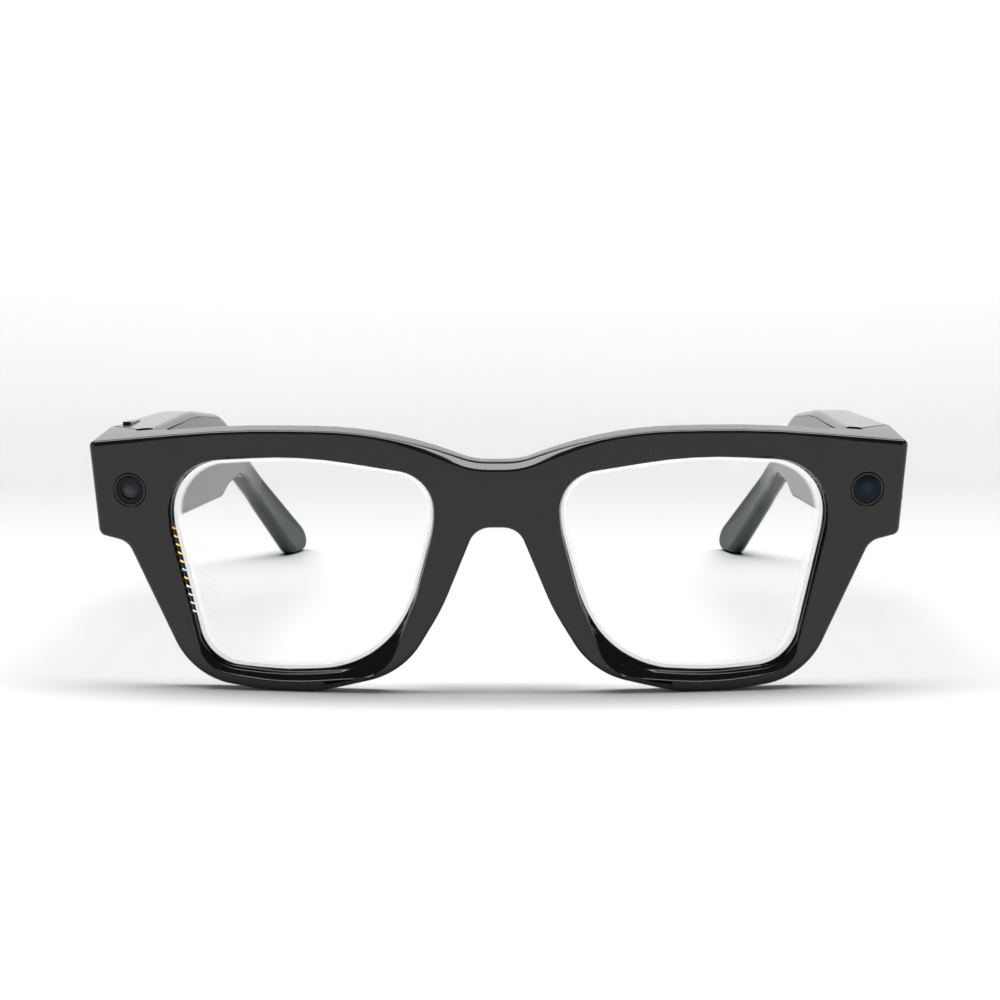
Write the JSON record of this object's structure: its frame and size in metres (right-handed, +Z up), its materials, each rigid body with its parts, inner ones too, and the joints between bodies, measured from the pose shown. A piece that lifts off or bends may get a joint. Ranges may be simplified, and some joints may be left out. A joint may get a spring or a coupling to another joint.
{
  "type": "smart glasses",
  "caption": "Thick square-topped smart glasses with clear lenses, a built-in display guide, camera and light windows, and folding temples that hold the electronics.",
  "frame": {"origin": "middle of the open glasses' footprint, on the surface they stand on", "axes": "+Z up, +Y from the front towards the temple tips, +X towards the wearer's left"},
  "size_m": [0.1526, 0.1577, 0.05],
  "materials": {
    "black_acetate": "polished",
    "black_polymer": "polished",
    "satin_polymer": "satin",
    "lens_clear": "clear, anti-reflective coat",
    "waveguide_glass": "clear, polished",
    "mirror_film": "partly reflecting coat",
    "dark_glass": "coated dark glass",
    "smoked_lens": "domed, smoked",
    "lens_glass": "coated",
    "stainless": "brushed",
    "screw_steel": "machined",
    "gold_contact": "gold plated",
    "circuit_board": "solder mask",
    "polyimide": "film",
    "shield_can": "tinned",
    "battery_foil": "laminated foil",
    "speaker_body": "moulded",
    "steel_mesh": "perforated, painted",
    "switch_metal": "stamped",
    "light_pipe": "frosted"
  },
  "bodies": {
    "front": {"front_frame": "black_acetate", "brow_cover": "satin_polymer", "brow_flex": "polyimide", "bridge_microphone": "shield_can", "charging_contacts": "gold_contact", "lens_right": "lens_clear", "lens_left": "lens_clear", "display_waveguide": "waveguide_glass", "waveguide_mirrors": "mirror_film", "display_projector": "satin_polymer", "light_bezel": "black_polymer", "light_window": "dark_glass", "light_lens": "smoked_lens", "light_board": "circuit_board", "camera_bezel": "black_polymer", "camera_window": "dark_glass", "camera_barrel": "satin_polymer", "camera_lens": "lens_glass", "camera_sensor": "circuit_board", "notification_light": "light_pipe", "nose_pad_right": "black_acetate", "nose_pad_left": "black_acetate", "badge_right": "black_polymer", "badge_left": "black_polymer", "front_leaf_right": "stainless", "front_leaf_left": "stainless", "front_leaf_screws": "screw_steel", "hinge_screws": "screw_steel"},
    "temple_right": {"temple_shell_right": "black_acetate", "temple_cover_right": "black_acetate", "temple_leaf_right": "stainless", "temple_leaf_screws_right": "screw_steel", "speaker_right": "speaker_body", "speaker_grille_right": "steel_mesh", "battery_right": "battery_foil", "main_board": "circuit_board", "board_shield": "shield_can", "touch_sensor": "polyimide", "temple_microphone_right": "shield_can", "button_switch": "switch_metal"},
    "temple_left": {"temple_shell_left": "black_acetate", "temple_cover_left": "black_acetate", "temple_leaf_left": "stainless", "temple_leaf_screws_left": "screw_steel", "speaker_left": "speaker_body", "speaker_grille_left": "steel_mesh", "battery_left": "battery_foil", "power_board": "circuit_board", "antenna": "polyimide", "temple_microphone_left": "shield_can", "switch_base": "switch_metal"},
    "capture_button": {"capture_button": "black_polymer"},
    "power_switch": {"power_switch": "satin_polymer"}
  },
  "joints": [
    {"name": "temple_left_hinge", "type": "hinge", "parent": "front", "child": "temple_left", "pos_m": [0.0657, -0.0611, 0.0378], "axis": [0, 0, 1], "range_deg": [0, 86]},
    {"name": "temple_right_hinge", "type": "hinge", "parent": "front", "child": "temple_right", "pos_m": [-0.0657, -0.0611, 0.0378], "axis": [0, 0, -1], "range_deg": [0, 69]},
    {"name": "capture_button_press", "type": "slide", "parent": "temple_right", "child": "capture_button", "axis": [-0.0048, -0.0801, -0.9968], "range_m": [0, 0.0003], "stiffness_N_per_m": 3000},
    {"name": "power_switch_slide", "type": "slide", "parent": "temple_left", "child": "power_switch", "axis": [-0.0591, 0.995, -0.0802], "range_m": [0, 0.0018]}
  ]
}
